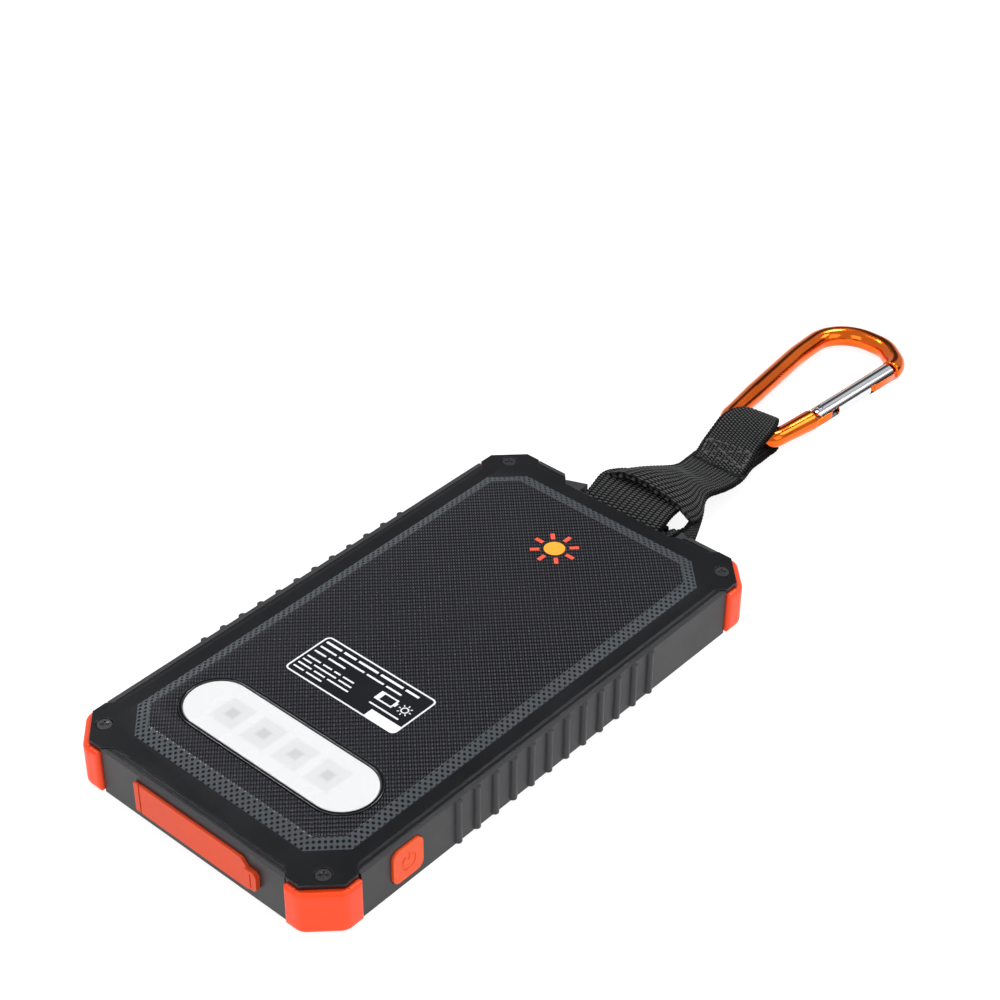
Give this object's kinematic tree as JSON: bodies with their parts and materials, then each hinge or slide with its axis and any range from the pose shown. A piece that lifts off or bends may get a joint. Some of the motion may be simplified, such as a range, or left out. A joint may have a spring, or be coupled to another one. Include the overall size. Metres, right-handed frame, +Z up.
{
  "type": "solar phone charger",
  "caption": "Rugged solar phone charger with a lamp, rubber corner bumpers, a flap over its sockets, a side button, and a webbing strap with a spring-gate carabiner.",
  "frame": {"origin": "centre of the case footprint on the resting face, which is the plane of the rim round the solar panel", "axes": "+X across the width towards the push button, +Y along the length towards the strap and carabiner, +Z up towards the lamp"},
  "size_m": [0.0774, 0.2558, 0.0133],
  "materials": {
    "shell_plastic": "fine satin",
    "cover_plastic": "satin with a woven texture on the raised panel",
    "gasket_rubber": "matte",
    "screw_steel": "black oxide",
    "bumper_rubber": "soft satin",
    "panel_clear": "clear",
    "cell_silicon": "polished silicon",
    "cell_silver": "printed silver",
    "panel_board": "matte",
    "wire_red": "matte",
    "bezel_black": "gloss",
    "lens_opal": "opal diffuser, satin gloss",
    "led_package": "matte",
    "led_board": "white solder mask",
    "wire_yellow": "matte",
    "pouch_foil": "satin foil",
    "board_green": "solder mask",
    "foam": "matte foam",
    "chip_black": "matte",
    "ferrite": "matte ferrite",
    "capacitor_sleeve": "satin",
    "socket_steel": "plated",
    "socket_plastic": "matte",
    "plunger_plastic": "matte",
    "button_rubber": "soft satin",
    "flap_rubber": "soft satin",
    "print_white": "printed ink",
    "print_amber": "printed ink",
    "print_orange": "printed ink",
    "webbing": "coarse woven nylon",
    "thread": "bonded thread",
    "anodised_orange": "glossy orange anodising",
    "pin_steel": "satin",
    "gate_polished": "polished",
    "spring_steel": "drawn wire"
  },
  "bodies": {
    "case": {"case_shell": "shell_plastic", "rear_cover": "cover_plastic", "cover_gasket": "gasket_rubber", "cover_screws": "screw_steel", "bumper_port_left": "bumper_rubber", "bumper_port_right": "bumper_rubber", "bumper_strap_left": "bumper_rubber", "bumper_strap_right": "bumper_rubber", "solar_window": "panel_clear", "solar_cells": "cell_silicon", "cell_busbars": "cell_silver", "solar_board": "panel_board", "panel_wires": "wire_red", "lamp_bezel": "bezel_black", "lamp_lens": "lens_opal", "lamp_leds": "led_package", "lamp_board": "led_board", "lamp_wires": "wire_yellow", "battery_cell": "pouch_foil", "protection_board": "board_green", "battery_leads": "wire_red", "foam_pad": "foam", "main_board": "board_green", "board_chips": "chip_black", "inductor": "ferrite", "capacitors": "capacitor_sleeve", "usb_a_socket": "socket_steel", "usb_a_tongue": "socket_plastic", "micro_usb_socket": "socket_steel", "tact_switch": "chip_black", "port_cover_tether": "flap_rubber", "label_print": "print_white", "sun_disc": "print_amber", "sun_rays": "print_orange"},
    "button": {"power_button": "button_rubber", "switch_plunger": "plunger_plastic"},
    "flap": {"port_cover": "flap_rubber"},
    "strap_body": {"strap": "webbing", "strap_stitching": "thread"},
    "carabiner": {"carabiner_body": "anodised_orange", "gate_pin": "pin_steel"},
    "gate": {"carabiner_gate": "gate_polished", "gate_spring": "spring_steel", "gate_plunger": "pin_steel"}
  },
  "joints": [
    {"name": "button_press", "type": "slide", "parent": "case", "child": "button", "axis": [-1, 0, 0], "range_m": [0, 0.0004]},
    {"name": "port_cover_open", "type": "hinge", "parent": "case", "child": "flap", "pos_m": [-0.0146, -0.07003, 0.00625], "axis": [0, 0, -1], "range_deg": [0, 95]},
    {"name": "strap_swing", "type": "hinge", "parent": "case", "child": "strap_body", "pos_m": [0, 0.071, 0.0064], "axis": [1, 0, 0], "range_deg": [-85, 95]},
    {"name": "carabiner_swing", "type": "hinge", "parent": "strap_body", "child": "carabiner", "pos_m": [-0.0043, 0.124, 0.00395], "axis": [1, 0, 0], "range_deg": [-75, 75]},
    {"name": "gate_open", "type": "hinge", "parent": "carabiner", "child": "gate", "pos_m": [0.00545, 0.1424, 0.00358], "axis": [0, 0.0203, 0.9998], "range_deg": [0, 28], "stiffness_Nm_per_rad": 0.002, "springref_deg": -5.73}
  ]
}
